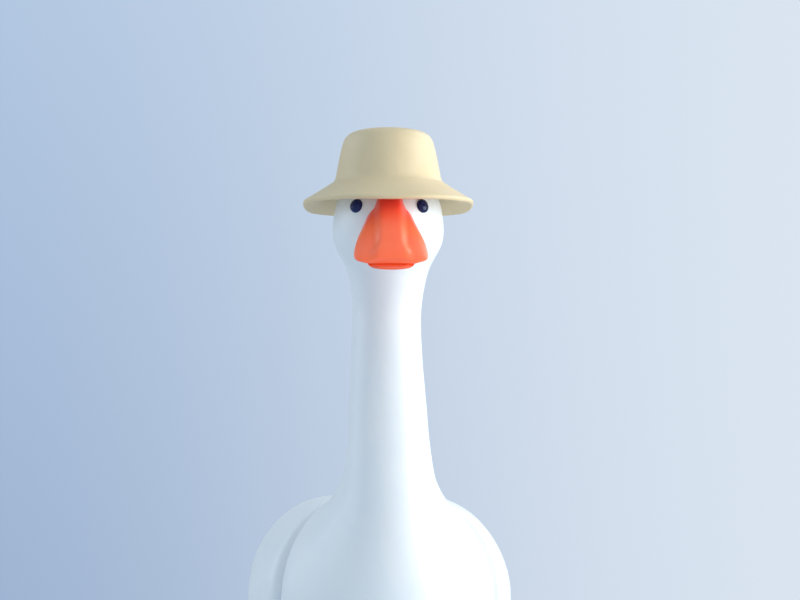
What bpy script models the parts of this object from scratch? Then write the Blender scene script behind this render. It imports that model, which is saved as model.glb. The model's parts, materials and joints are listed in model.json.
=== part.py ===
"""A desk toy: a white goose in a bucket hat that rocks on an axle and dips its bill.

The goose faces -Y and stands on a weighted base. The origin is the centre of the base
pad's underside, +Z is up and the axle runs along X above the origin. Lengths are in
metres; tables of outline points are in millimetres and are multiplied by MM.
"""

import math

import bmesh
import bpy
from mathutils import Matrix, Vector
from mathutils.bvhtree import BVHTree

MM = 0.001

# Driving dimensions, in metres
GAP = 0.3 * MM  # between pieces that touch
WALL = 1.8 * MM  # of the goose's moulded shells
AXLE_HEIGHT = 90.0 * MM
AXLE_RADIUS = 1.5 * MM
AXLE_LENGTH = 47.0 * MM
RUNNING_GAP = 0.12 * MM  # radial, axle to bush
PARTING_HEIGHT = 66.0 * MM  # where the belly pan meets the body shell
DIP_DEGREES = 55.0
LEAN_BACK_DEGREES = 10.0
LEG_X = 18.0 * MM
LEG_SLOT_HALF = 4.2 * MM
LEG_EYE_HALF = 3.4 * MM
BUSH_X = 9.0 * MM
HEAD_Y = -26.0 * MM  # the hat's axis
HEAD_TURN = math.radians(4.5)  # the head looks a little to the goose's right
HEAD_TURN_SPAN = (170.0 * MM, 204.0 * MM)  # the height over which the neck takes up the turn
BASE_HALF_X = 44.0 * MM
BASE_HALF_Y = 52.0 * MM
BASE_TOP = 10.0 * MM
PAD_THICKNESS = 1.5 * MM

ROUND = 28  # sides of a round piece
SMALL_ROUND = 14

# The goose's outline from the tail to the crown of its head. Each row is one station, in mm:
# back line (y, z), breast line (y, z), half width, fullness (2 is an ellipse).
GOOSE = [
    (93.0, 103.9, 94.5, 101.2, 4.0, 2.0),
    (86.5, 104.6, 89.0, 96.4, 10.5, 2.1),
    (75.0, 106.0, 79.0, 88.8, 18.0, 2.1),
    (59.0, 108.4, 65.0, 76.0, 27.0, 2.1),
    (41.0, 111.4, 45.0, 59.0, 35.5, 2.1),
    (22.0, 114.2, 22.0, 46.3, 40.3, 2.05),
    (6.0, 116.8, -6.0, 41.3, 41.2, 2.0),
    (-4.5, 119.8, -32.0, 49.0, 38.8, 2.0),
    (-10.0, 123.3, -48.0, 67.0, 35.2, 2.0),
    (-13.2, 128.4, -53.5, 90.0, 24.9, 2.0),
    (-13.8, 137.0, -50.0, 114.0, 16.7, 2.0),
    (-13.6, 147.0, -43.8, 132.5, 14.2, 2.0),
    (-11.6, 159.0, -37.8, 149.0, 13.4, 2.0),
    (-8.8, 173.5, -33.6, 168.0, 12.4, 2.0),
    (-6.8, 188.0, -31.6, 186.0, 12.1, 2.0),
    (-5.8, 201.0, -35.6, 199.0, 14.2, 2.0),
    (-5.8, 212.0, -43.8, 208.5, 18.8, 2.0),
    (-6.6, 221.5, -46.5, 219.0, 18.5, 2.0),
    (-10.5, 231.0, -41.8, 230.5, 15.3, 2.0),
    (-14.5, 238.5, -37.5, 238.5, 11.4, 2.0),
    (-21.0, 243.6, -31.0, 243.6, 5.0, 2.0),
]
TAIL_TIP = (95.0, 102.7)
HEAD_TOP = (-26.0, 244.4)

# The folded wing's outline seen from the side (y, z), in mm, from the shoulder's top round to the tip.
WING_OUTLINE = [
    (-3.0, 116.4),
    (-13.0, 112.5),
    (-21.0, 100.0),
    (-24.0, 84.0),
    (-14.0, 69.0),
    (10.0, 60.5),
    (34.0, 62.5),
    (56.0, 71.0),
    (71.5, 84.0),
    (82.5, 94.5),
    (78.0, 99.0),
    (60.0, 104.6),
    (38.0, 109.7),
    (18.0, 113.4),
]
WING_CENTRE = (24.0, 90.0)
WING_BULGE = 6.8 * MM
WING_EDGE = 1.3 * MM

# The hat's outer side, radius and height in mm, from the crown's middle to the brim's edge
HAT_OUTSIDE = [
    (0.0, 248.6),
    (8.0, 248.4),
    (12.4, 247.5),
    (15.0, 245.4),
    (16.4, 241.0),
    (17.5, 235.5),
    (18.5, 231.2),
    (20.6, 229.3),
    (24.8, 226.0),
    (29.0, 222.2),
]
HAT_INSIDE = [
    (29.2, 221.0),
    (28.3, 220.9),
    (24.0, 224.2),
    (20.4, 227.4),
    (17.6, 228.6),
]
BRIM_LIFT = 2.1 * MM  # how much higher the brim's edge is in front
BRIM_DROP = 2.3 * MM  # how much lower its edge is behind than in front
BRIM_DIP = 0.5 * MM  # how much lower it is right in the middle of the front

EYE_PLACE = (10.9, 221.1)  # x, z in mm, before the head's turn

# The bill: distance along its axis, half width, height above and depth below the mouth line, in mm
UPPER_BILL = [
    (-4.0, 7.0, 8.4),
    (2.0, 7.8, 7.6),
    (8.0, 9.2, 6.2),
    (14.0, 10.6, 4.8),
    (20.0, 11.5, 3.6),
    (24.0, 11.6, 3.0),
    (26.0, 10.8, 2.3),
    (27.0, 9.0, 1.4),
]
LOWER_BILL = [
    (-2.0, 5.4, 4.4),
    (6.0, 6.0, 3.4),
    (14.0, 6.8, 2.6),
    (21.0, 7.6, 2.2),
    (25.5, 7.4, 1.7),
    (27.4, 6.4, 1.2),
    (28.2, 4.6, 0.7),
]
BILL_ROOT = Vector((0.0, -42.0, 217.1)) * MM
BILL_SLOPE = math.radians(36.0)  # below the horizontal

COUNTERWEIGHT_Y = (-38.9 * MM, 31.1 * MM)
COUNTERWEIGHT_TOP = 66.0 * MM
COUNTERWEIGHT_HALF_X = 13.0 * MM
PILLAR_HALF_Y = 6.5 * MM
PILLAR_HALF_X = 2.5 * MM


# Mesh helpers


def loft(rings):
    """A closed mesh through rings of points; a ring of one point is a pole."""
    bm = bmesh.new()
    made = [[bm.verts.new(point) for point in ring] for ring in rings]
    for low, high in zip(made, made[1:]):
        count = max(len(low), len(high))
        for k in range(count):
            n = (k + 1) % count
            corners = [low[k % len(low)], low[n % len(low)], high[n % len(high)], high[k % len(high)]]
            bm.faces.new(list(dict.fromkeys(corners)))
    for end in (made[0], made[-1]):
        if len(end) > 2:
            bm.faces.new(end)
    bmesh.ops.recalc_face_normals(bm, faces=bm.faces)
    if bm.calc_volume(signed=True) < 0:
        bmesh.ops.reverse_faces(bm, faces=bm.faces)
    return bm


def circle(centre, radius, sides, axis="Z"):
    """Points of a circle round an axis through centre; radius may be a pair for an oval."""
    across, up = (radius, radius) if isinstance(radius, float) else radius
    points = []
    for k in range(sides):
        angle = 2 * math.pi * k / sides
        a, b = across * math.cos(angle), up * math.sin(angle)
        offset = {"X": (0, a, b), "Y": (a, 0, b), "Z": (a, b, 0)}[axis]
        points.append(Vector(centre) + Vector(offset))
    return points


def rod(start, end, radius, sides=ROUND, end_radius=None):
    """A cylinder, or a cone, between two points."""
    start, end = Vector(start), Vector(end)
    turn = (end - start).to_track_quat("Z", "Y").to_matrix()
    rings = []
    for place, size in ((start, radius), (end, end_radius or radius)):
        rings.append([place + turn @ point for point in circle((0, 0, 0), size, sides)])
    return loft(rings)


def turned(profile, centre_xy, sides=ROUND):
    """A shape turned about the vertical line through centre_xy; profile holds (radius, height)."""
    rings = []
    for radius, height in profile:
        centre = (centre_xy[0], centre_xy[1], height)
        rings.append([Vector(centre)] if radius == 0 else circle(centre, radius, sides))
    return loft(rings)


def block(low, high):
    """A box between two corners."""
    bm = bmesh.new()
    bmesh.ops.create_cube(bm, size=1)
    low, high = Vector(low), Vector(high)
    bm.transform(Matrix.Translation((low + high) / 2) @ Matrix.Diagonal((*(high - low), 1)))
    return bm


def block_between(one, other):
    """A box between any two opposite corners."""
    return block([min(a, b) for a, b in zip(one, other)], [max(a, b) for a, b in zip(one, other)])


def extruded(outline, low, high, axis="Z"):
    """A prism: outline holds pairs, across X and Y for axis Z, or across Y and Z for axis X."""
    rings = []
    for level in (low, high):
        if axis == "Z":
            rings.append([Vector((a, b, level)) for a, b in outline])
        else:
            rings.append([Vector((level, a, b)) for a, b in outline])
    return loft(rings)


def joined(*meshes):
    """Several meshes in one, as separate bodies."""
    whole = bmesh.new()
    for bm in meshes:
        mesh = bpy.data.meshes.new("joined")
        bm.to_mesh(mesh)
        bm.free()
        whole.from_mesh(mesh)
        bpy.data.meshes.remove(mesh)
    return whole


def smooth_row(rows, t):
    """Every column of rows at station t, on a Catmull-Rom curve."""
    i = min(int(t), len(rows) - 2)
    f = t - i
    near = (rows[max(i - 1, 0)], rows[i], rows[i + 1], rows[min(i + 2, len(rows) - 1)])
    return [
        0.5 * (2 * b + (c - a) * f + (2 * a - 5 * b + 4 * c - d) * f**2 + (3 * b - a - 3 * c + d) * f**3)
        for a, b, c, d in zip(*near)
    ]


def closed_curve(points, count):
    """count points on a closed Catmull-Rom curve through points."""
    loop = points[-1:] + points + points[:2]
    span = len(points)
    return [smooth_row(loop, 1 + span * k / count) for k in range(count)]


# Objects


def material(name, colour, roughness, metallic=0.0):
    made = bpy.data.materials.new(name)
    made.use_nodes = True
    made.diffuse_color = (*colour, 1)
    shader = made.node_tree.nodes["Principled BSDF"]
    shader.inputs["Base Color"].default_value = (*colour, 1)
    shader.inputs["Roughness"].default_value = roughness
    shader.inputs["Metallic"].default_value = metallic
    return made


def piece(name, bm, finish, parent=None, origin=(0, 0, 0)):
    """A named object from a mesh in world space, shaded smooth and held by its joint's empty."""
    bmesh.ops.translate(bm, verts=bm.verts, vec=-Vector(origin))
    mesh = bpy.data.meshes.new(name)
    bm.to_mesh(mesh)
    bm.free()
    made = bpy.data.objects.new(name, mesh)
    made.location = origin
    bpy.context.scene.collection.objects.link(made)
    finish_mesh(mesh, finish)
    if parent is not None:
        made.parent = parent
        made.matrix_parent_inverse = parent.matrix_world.inverted()
    return made


def finish_mesh(mesh, finish):
    mesh.materials.clear()
    mesh.materials.append(finish)
    mesh.shade_smooth()
    mesh.set_sharp_from_angle(angle=math.radians(40))


def combine(made, operation, *tools):
    """Cuts, joins or crosses the object with each tool in turn."""
    for bm in tools:
        mesh = bpy.data.meshes.new("tool")
        bm.to_mesh(mesh)
        bm.free()
        tool = bpy.data.objects.new("tool", mesh)
        bpy.context.scene.collection.objects.link(tool)
        modifier = made.modifiers.new("boolean", "BOOLEAN")
        modifier.operation = operation
        modifier.object = tool
        bpy.context.view_layer.update()
        graph = bpy.context.evaluated_depsgraph_get()
        result = bpy.data.meshes.new_from_object(made.evaluated_get(graph))
        made.modifiers.clear()
        finish = made.data.materials[0]
        made.data = result
        finish_mesh(result, finish)
        bpy.data.objects.remove(tool)
    return made


def largest_body(made):
    """Drops the crumbs that a cut leaves, and keeps the largest connected body, in triangles."""
    bm = bmesh.new()
    bm.from_mesh(made.data)
    bmesh.ops.remove_doubles(bm, verts=bm.verts, dist=0.002 * MM)
    bmesh.ops.triangulate(bm, faces=bm.faces)
    left = set(bm.verts)
    bodies = []
    while left:
        body, edge = set(), [left.pop()]
        while edge:
            vert = edge.pop()
            body.add(vert)
            near = [link.other_vert(vert) for link in vert.link_edges]
            edge += [other for other in near if other in left]
            left.difference_update(near)
        bodies.append(body)
    keep = max(bodies, key=len)
    bmesh.ops.delete(bm, geom=[vert for vert in bm.verts if vert not in keep])
    bm.to_mesh(made.data)
    bm.free()
    return made


def taken(made):
    """The object's mesh, with the object removed."""
    bm = bmesh.new()
    bm.from_mesh(made.data)
    bpy.data.objects.remove(made)
    return bm


def joint_empty(name, place):
    made = bpy.data.objects.new(name, None)
    made.location = place
    bpy.context.scene.collection.objects.link(made)
    bpy.context.view_layer.update()
    return made


# The goose's surface


def goose_ring(t, sides):
    back_y, back_z, front_y, front_z, half_width, fullness = smooth_row(GOOSE, t)
    middle = Vector((0, back_y + front_y, back_z + front_z)) / 2
    reach = Vector((0, back_y - front_y, back_z - front_z)) / 2
    ring = []
    for k in range(sides):
        angle = 2 * math.pi * k / sides
        along = math.copysign(abs(math.cos(angle)) ** (2 / fullness), math.cos(angle))
        across = math.copysign(abs(math.sin(angle)) ** (2 / fullness), math.sin(angle))
        ring.append((middle + reach * along + Vector((half_width * across, 0, 0))) * MM)
    return ring


def goose_solid(grow=0.0, per_station=2, sides=ROUND, first=0.0, last=None):
    """The goose's outside as a closed mesh, moved out by grow along its normals."""
    last = len(GOOSE) - 1 if last is None else last
    count = round((last - first) * per_station)
    rings = [goose_ring(first + (last - first) * k / count, sides) for k in range(count + 1)]
    if first == 0:
        rings.insert(0, [Vector((0, *TAIL_TIP)) * MM])
    if last == len(GOOSE) - 1:
        rings.append([Vector((0, *HEAD_TOP)) * MM])
    bm = loft(rings)
    bm.normal_update()
    moves = [(vert, vert.normal * grow) for vert in bm.verts]
    for vert, move in moves:
        vert.co += move
        vert.co = head_turn(vert.co.z) @ vert.co
    return bm


def smooth_step(low, high, value):
    share = min(1.0, max(0.0, (value - low) / (high - low)))
    return share * share * (3 - 2 * share)


def head_turn(height=1.0):
    """The turn of the head about its own upright axis, as far as it has gone at this height."""
    share = smooth_step(*HEAD_TURN_SPAN, height)
    axis_at = Matrix.Translation((0, HEAD_Y, 0))
    return axis_at @ Matrix.Rotation(-HEAD_TURN * share, 4, "Z") @ axis_at.inverted()


def goose_hollow():
    """The space inside the goose's wall; the tail's tip and the crown are solid."""
    return goose_solid(-WALL, per_station=1.5, sides=20, first=2.4, last=len(GOOSE) - 1.6)


def pan_side(grow):
    """Everything below the parting plane, moved up by grow."""
    reach = 200 * MM
    return block((-reach, -reach, -reach), (reach, reach, PARTING_HEIGHT + grow))


def surface_hit(tree, start, direction):
    """The point and normal where a ray from far outside meets the surface, or None."""
    place, normal, _, _ = tree.ray_cast(Vector(start), Vector(direction))
    return (place, normal) if place is not None else None


# The bird: everything that rocks on the axle

SCREW_PLACES = [(side * x * MM, y * MM) for side in (-1, 1) for x, y in ((26.5, -20.0), (26.5, 27.0))]
PAN_SCREW_SEAT = 60.0 * MM
PAN_SCREW_END = 74.0 * MM
WING_PEGS = [(4.0, 90.0), (42.0, 92.0)]
WEIGHT_SCREWS = [(0.0, -22.0 * MM), (0.0, 20.0 * MM)]
WEIGHT_POST_TOP = 57.0 * MM
WEIGHT_SCREW_TIP = 52.0 * MM
# Screws: head radius, head height and shank radius
PAN_SCREW = (2.5 * MM, 1.9 * MM, 1.2 * MM)
WEIGHT_SCREW = (2.5 * MM, 1.8 * MM, 1.0 * MM)
LEG_SCREW = (3.0 * MM, 1.6 * MM, 1.25 * MM)


def eye_frame(side):
    """Where one eye meets the head, and the direction it looks."""
    x, z = EYE_PLACE[0] * MM * side, EYE_PLACE[1] * MM
    tree = BVHTree.FromBMesh(goose_solid())
    turn = head_turn()
    return surface_hit(tree, turn @ Vector((x, -0.2, z)), turn.to_3x3() @ Vector((0, 1, 0)))


def body_shell(white, bird):
    made = piece("body_shell", goose_solid(), white, bird)
    combine(made, "DIFFERENCE", goose_hollow())
    combine(made, "DIFFERENCE", pan_side(GAP / 2))
    low, high = PARTING_HEIGHT + GAP / 2, PAN_SCREW_END + 3 * MM
    for x, y in SCREW_PLACES:
        inside = piece("boss", rod((x, y, low), (x, y, high), 4.2 * MM, SMALL_ROUND), white)
        reach = math.copysign(16 * MM, x)
        web = block_between((x, y - 1.3 * MM, low), (x + reach, y + 1.3 * MM, high - 1 * MM))
        combine(inside, "UNION", web)
        combine(inside, "INTERSECT", goose_solid(-WALL / 2))
        combine(made, "UNION", taken(inside))
    pilots = [
        rod((x, y, PARTING_HEIGHT - 5 * MM), (x, y, PAN_SCREW_END + GAP), 1.5 * MM, SMALL_ROUND)
        for x, y in SCREW_PLACES
    ]
    combine(made, "DIFFERENCE", joined(*pilots))
    sockets = []
    for side in (-1, 1):
        place, normal = eye_frame(side)
        sockets.append(rod(place + normal * 3 * MM, place - normal * 6 * MM, 1.8 * MM, SMALL_ROUND))
        for y, z in WING_PEGS:
            sockets.append(
                rod((side * 30 * MM, y * MM, z * MM), (side * 60 * MM, y * MM, z * MM), 2.2 * MM, SMALL_ROUND)
            )
    sockets.append(rod(bill_point(-9, 3.2), bill_point(10, 3.2), 3.2 * MM, SMALL_ROUND))
    combine(made, "DIFFERENCE", joined(*sockets))
    return made


def leg_slot(side):
    """The space one leg sweeps in the belly pan, with room on each side."""
    reach = 70 * MM
    first = math.radians(-LEAN_BACK_DEGREES)
    last = math.radians(DIP_DEGREES)
    steps = 8

    def point(angle, distance, shift):
        """distance from the axle along a leg at this angle, shifted towards the front."""
        y = -math.sin(angle) * distance - math.cos(angle) * shift
        z = -math.cos(angle) * distance + math.sin(angle) * shift
        return (y, AXLE_HEIGHT + z)

    outline = [point(first, 0, -LEG_SLOT_HALF), point(first, reach, -LEG_SLOT_HALF)]
    outline += [point(first + (last - first) * k / steps, reach, 0) for k in range(1, steps)]
    outline += [point(last, reach, LEG_SLOT_HALF), point(last, 0, LEG_SLOT_HALF)]
    middle = side * LEG_X
    return extruded(outline, middle - LEG_SLOT_HALF, middle + LEG_SLOT_HALF, "X")


def belly_pan(white, bird):
    """The lower shell, with the axle's pillars, the counterweight's posts and the screw columns."""
    made = piece("belly_pan", goose_solid(), white, bird)
    combine(made, "DIFFERENCE", goose_hollow())
    combine(made, "INTERSECT", pan_side(-GAP / 2))

    floor = 35 * MM
    parts = []
    half = PILLAR_HALF_Y
    arch = [(half * math.cos(a), AXLE_HEIGHT + half * math.sin(a)) for a in arc_angles(0, math.pi, 10)]
    for side in (-1, 1):
        near, far = side * BUSH_X - PILLAR_HALF_X, side * BUSH_X + PILLAR_HALF_X
        parts.append(extruded([(half, floor)] + arch + [(-half, floor)], near, far, "X"))
    for x, y in SCREW_PLACES:
        parts.append(rod((x, y, floor), (x, y, PARTING_HEIGHT - GAP / 2), 4.2 * MM, SMALL_ROUND))
    for x, y in WEIGHT_SCREWS:
        parts.append(rod((x, y, floor), (x, y, WEIGHT_POST_TOP), 3.0 * MM, SMALL_ROUND))
    inside = piece("inside", joined(*parts), white)
    combine(inside, "INTERSECT", goose_solid(-WALL / 2))
    combine(made, "UNION", taken(inside))

    bores = [rod((-15 * MM, 0, AXLE_HEIGHT), (15 * MM, 0, AXLE_HEIGHT), 3.3 * MM, SMALL_ROUND)]
    for x, y in SCREW_PLACES:
        bores.append(rod((x, y, 30 * MM), (x, y, PAN_SCREW_SEAT), 2.9 * MM, SMALL_ROUND))
    combine(made, "DIFFERENCE", joined(*bores))
    holes = [
        rod((x, y, PAN_SCREW_SEAT - 2 * MM), (x, y, PARTING_HEIGHT + 2 * MM), 1.5 * MM, SMALL_ROUND)
        for x, y in SCREW_PLACES
    ]
    for x, y in WEIGHT_SCREWS:
        holes.append(rod((x, y, WEIGHT_POST_TOP - 5 * MM), (x, y, WEIGHT_POST_TOP + 2 * MM), 1.3 * MM, SMALL_ROUND))
    combine(made, "DIFFERENCE", joined(*holes))
    combine(made, "DIFFERENCE", joined(leg_slot(-1), leg_slot(1)))
    return made


def arc_angles(start, end, steps):
    return [start + (end - start) * k / steps for k in range(steps + 1)]


def screws(name, steel, parent, places, seat, tip, head_radius, head_height, shank_radius):
    """Pan-head screws that share one mesh: the head bears on seat and the shank runs to tip."""
    way = math.copysign(1, tip - seat)
    length = abs(tip - seat)
    profile = [
        (0, -head_height),
        (head_radius * 0.8, -head_height),
        (head_radius, -head_height * 0.6),
        (head_radius, 0),
        (shank_radius, 0),
        (shank_radius, length - shank_radius),
        (0, length),
    ]
    bm = turned([(radius, way * height) for radius, height in profile], (0, 0), SMALL_ROUND)
    first = piece(f"{name}_1", bm, steel, parent)
    first.location = (*places[0], seat)
    for number, place in enumerate(places[1:], 2):
        copy = first.copy()
        copy.name = f"{name}_{number}"
        copy.location = (*place, seat)
        bpy.context.scene.collection.objects.link(copy)


def counterweight(iron, bird):
    """A cast slug along the belly, between the legs, that keeps the goose upright."""
    low = (-COUNTERWEIGHT_HALF_X, COUNTERWEIGHT_Y[0], 30 * MM)
    high = (COUNTERWEIGHT_HALF_X, COUNTERWEIGHT_Y[1], COUNTERWEIGHT_TOP)
    made = piece("counterweight", block(low, high), iron, bird)
    combine(made, "INTERSECT", goose_solid(-WALL - 0.5 * MM, per_station=1.5, sides=20, first=2.4, last=len(GOOSE) - 1.6))
    cuts = []
    room = 0.6 * MM
    for side in (-1, 1):
        near = side * (BUSH_X - PILLAR_HALF_X - room)
        cuts.append(block_between((near, -PILLAR_HALF_Y - room, 0), (side * 0.1, PILLAR_HALF_Y + room, 0.1)))
    for x, y in WEIGHT_SCREWS:
        cuts.append(rod((x, y, 30 * MM), (x, y, WEIGHT_POST_TOP + GAP), 3.4 * MM, SMALL_ROUND))
    combine(made, "DIFFERENCE", joined(*cuts))
    holes = []
    for x, y in WEIGHT_SCREWS:
        holes.append(rod((x, y, WEIGHT_POST_TOP - 1 * MM), (x, y, 80 * MM), 1.5 * MM, SMALL_ROUND))
    combine(made, "DIFFERENCE", joined(*holes))
    return made


def axle_bush(name, side, brass, bird):
    """A flanged bush in one pillar, with its flange towards the leg."""
    inner = side * (BUSH_X - PILLAR_HALF_X)
    outer = side * (BUSH_X + PILLAR_HALF_X + GAP)
    rim = outer + side * 1.0 * MM
    places = [(inner, 3.0 * MM), (outer, 3.0 * MM), (outer, 4.4 * MM), (rim, 4.4 * MM)]
    rings = [circle((x, 0, AXLE_HEIGHT), radius, ROUND, "X") for x, radius in places]
    made = piece(name, loft(rings), brass, bird)
    bore = rod((-30 * MM, 0, AXLE_HEIGHT), (30 * MM, 0, AXLE_HEIGHT), AXLE_RADIUS + RUNNING_GAP)
    return combine(made, "DIFFERENCE", bore)


def body_side(tree, y, z):
    """How far out the body's side is at this place, in metres; y and z are in mm."""
    hit = surface_hit(tree, (0.2, y * MM, z * MM), (-1, 0, 0))
    return hit[0].x if hit else 0.0


def side_normal(tree, y, z):
    """The body's outward direction at this place on its left side."""
    step = 2.0
    slope_y = (body_side(tree, y + step, z) - body_side(tree, y - step, z)) / (2 * step * MM)
    slope_z = (body_side(tree, y, z + step) - body_side(tree, y, z - step)) / (2 * step * MM)
    return Vector((1, -slope_y, -slope_z)).normalized()


def wing_thickness(share, y, z):
    """The wing's thickness at a share of the way from its centre to its edge."""
    lean = 1 - 0.62 * max(0.0, (y - 15) / 70)
    power = 3.0 - 1.4 * smooth_step(96, 110, z)
    return WING_EDGE + WING_BULGE * lean * math.sqrt(max(0.0, 1 - share**power))


def left_wing(white, bird):
    """A folded wing: a hollow shell whose rim follows the body, with two pegs that press into it."""
    rows, around, hollow = 6, 36, 4
    tree = BVHTree.FromBMesh(goose_solid())
    outline = closed_curve(WING_OUTLINE, around)

    def point(share, edge, face):
        y = WING_CENTRE[0] + share * (edge[0] - WING_CENTRE[0])
        z = WING_CENTRE[1] + share * (edge[1] - WING_CENTRE[1])
        out = wing_thickness(share, y, z) * face if face else -1 * MM
        return Vector((body_side(tree, y, z), y * MM, z * MM)) + side_normal(tree, y, z) * out

    shares = [math.sin(0.5 * math.pi * k / rows) for k in range(1, rows + 1)]
    outer = [[point(share, edge, 1) for edge in outline] for share in shares]
    inner = [[point(share, edge, 0) for edge in outline] for share in (1.0, shares[hollow] + 0.04)]
    roof = [[point(share, edge, 0.72) for edge in outline] for share in reversed(shares[:hollow])]
    middle = WING_CENTRE
    rings = [[point(0, middle, 1)]] + outer + inner + roof + [[point(0, middle, 0.72)]]
    made = piece("left_wing", loft(rings), white, bird)
    combine(made, "DIFFERENCE", goose_solid(GAP))
    for y, z in WING_PEGS:
        body = body_side(tree, y, z)
        start, end = body - 6 * MM, body + 0.85 * wing_thickness(0.4, y, z)
        combine(made, "UNION", rod((start, y * MM, z * MM), (end, y * MM, z * MM), 1.8 * MM, SMALL_ROUND))
    return largest_body(made)


def right_twin(name, left, finish, parent, turn=Matrix()):
    """The same piece on the other side of the YZ plane, or of that plane turned."""
    bm = bmesh.new()
    bm.from_mesh(left.data)
    bm.transform(turn @ Matrix.Diagonal((-1, 1, 1, 1)) @ turn.inverted())
    bmesh.ops.reverse_faces(bm, faces=bm.faces)
    return piece(name, bm, finish, parent)


def bill_point(along, above, across=0.0):
    """A point in the bill's own frame, in mm: along its axis, above the mouth line, across."""
    forward = Vector((0, -math.cos(BILL_SLOPE), -math.sin(BILL_SLOPE)))
    upward = Vector((0, -math.sin(BILL_SLOPE), math.cos(BILL_SLOPE)))
    return head_turn() @ (BILL_ROOT + (forward * along + upward * above + Vector((across, 0, 0))) * MM)


def bill_ring(along, half_width, height, mouth, sides=24):
    """A section of the bill: a rounded ridge above (or below) a flat mouth face at mouth."""
    ring = []
    way = math.copysign(1, height)
    for k in range(sides // 2 + 1):
        angle = math.pi * k / (sides // 2)
        across = half_width * math.cos(angle)
        rise = abs(height) * math.sin(angle) ** 1.25
        ring.append(bill_point(along, mouth + way * (rise + 0.5), across))
    for share in (-0.7, -0.3, 0.3, 0.7):
        ring.append(bill_point(along, mouth, half_width * share))
    return ring


def upper_bill(orange, bird):
    rings = [bill_ring(along, width, height, GAP / 2 / MM) for along, width, height in UPPER_BILL]
    made = piece("upper_bill", loft(rings), orange, bird)
    combine(made, "DIFFERENCE", goose_solid(GAP))
    plug = rod(bill_point(-7.5, 3.2), bill_point(8, 3.2), 2.8 * MM, SMALL_ROUND)
    return combine(made, "UNION", plug)


def lower_bill(orange, bird):
    rings = [bill_ring(along, width, -height, -GAP / 2 / MM) for along, width, height in LOWER_BILL]
    made = piece("lower_bill", loft(rings), orange, bird)
    return combine(made, "DIFFERENCE", goose_solid(GAP))


def left_eye(navy, bird):
    """A domed bead with a stem pressed into the head."""
    place, normal = eye_frame(1)
    turn = normal.to_track_quat("Z", "Y").to_matrix()
    profile = [(2.35, -3.0), (2.35, 0.1), (2.1, 0.75), (1.55, 1.15), (0.85, 1.4), (0.0, 1.5)]
    rings = []
    for radius, height in profile:
        centre = (0, 0, height * MM)
        local = [Vector(centre)] if radius == 0 else circle(centre, radius * MM, SMALL_ROUND)
        rings.append([place + turn @ point for point in local])
    made = piece("left_eye", loft(rings), navy, bird)
    combine(made, "DIFFERENCE", goose_solid(GAP))
    stem = rod(place + normal * 0.9 * MM, place - normal * 5 * MM, 1.4 * MM, SMALL_ROUND)
    return combine(made, "UNION", stem)


# The hat


def brim_height(backward):
    """The brim's rise at its edge; backward runs from -1 in front to 1 behind."""
    middle = max(0.0, -backward) ** 14
    return BRIM_LIFT - BRIM_DROP * smooth_step(-0.3, 0.42, backward) - BRIM_DIP * middle


def hat(beige, hat_empty):
    """One moulding: a tapered crown, a drooping brim and a socket shaped to the head."""
    sides = 36
    profile = HAT_OUTSIDE + HAT_INSIDE + [(0.0, 228.6)]
    rings = []
    for radius, height in profile:
        centre = Vector((0, HEAD_Y, height * MM))
        if radius == 0:
            rings.append([centre])
            continue
        ring = circle(centre, radius * MM, sides)
        reach = max(0.0, (radius - 18.3) / 11) ** 2
        for point in ring:
            backward = (point.y - HEAD_Y) / (radius * MM)
            point.z += reach * brim_height(backward)
        rings.append([head_turn() @ point for point in ring])
    made = piece("hat", loft(rings), beige, hat_empty)
    return combine(made, "DIFFERENCE", goose_solid(1.2 * GAP, first=14, sides=ROUND))


# The stand


def axle(steel):
    half = AXLE_LENGTH / 2
    chamfer = 0.5 * MM
    places = [(-half, AXLE_RADIUS - chamfer), (-half + chamfer, AXLE_RADIUS), (half - chamfer, AXLE_RADIUS)]
    places.append((half, AXLE_RADIUS - chamfer))
    return piece("axle", loft([circle((x, 0, AXLE_HEIGHT), radius, ROUND, "X") for x, radius in places]), steel)


def axle_cap(name, side, steel):
    """A domed cap pushed on the axle's end."""
    start = side * (LEG_X + LEG_EYE_HALF + GAP)
    end = side * (AXLE_LENGTH / 2 + 1.0 * MM)
    places = [(start, 3.2 * MM), (end - side * 0.8 * MM, 3.2 * MM), (end, 2.2 * MM)]
    made = piece(name, loft([circle((x, 0, AXLE_HEIGHT), radius, SMALL_ROUND, "X") for x, radius in places]), steel)
    socket_end = side * (AXLE_LENGTH / 2 + GAP)
    bore = rod((0, 0, AXLE_HEIGHT), (socket_end, 0, AXLE_HEIGHT), AXLE_RADIUS + RUNNING_GAP)
    return combine(made, "DIFFERENCE", bore)


FOOT_TOP = 13.4 * MM
ANKLE_TOP = 18.0 * MM
LEG_BOTTOM = 13.0 * MM
LEG_SCREW_TIP = 25.0 * MM
PLATE_LOW = 3.9 * MM
PLATE_HIGH = 7.3 * MM
LEG_HOLE_RADIUS = 1.6 * MM


def leg(name, side, orange):
    """A round leg with an eye for the axle at its top and a blind hole for its screw."""
    x = side * LEG_X
    shaft = [(3.1 * MM, LEG_BOTTOM), (3.1 * MM, 22 * MM), (2.8 * MM, 32 * MM), (2.9 * MM, AXLE_HEIGHT - MM)]
    made = piece(name, turned(shaft, (x, 0), SMALL_ROUND), orange)
    half = LEG_EYE_HALF
    ring = rod((x - half, 0, AXLE_HEIGHT), (x + half, 0, AXLE_HEIGHT), 5.0 * MM, ROUND)
    combine(made, "UNION", ring)
    bore = rod((x - 9 * MM, 0, AXLE_HEIGHT), (x + 9 * MM, 0, AXLE_HEIGHT), AXLE_RADIUS + RUNNING_GAP)
    pilot = rod((x, 0, 0), (x, 0, LEG_SCREW_TIP + GAP), 1.5 * MM, SMALL_ROUND)
    return combine(made, "DIFFERENCE", bore, pilot)


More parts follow.
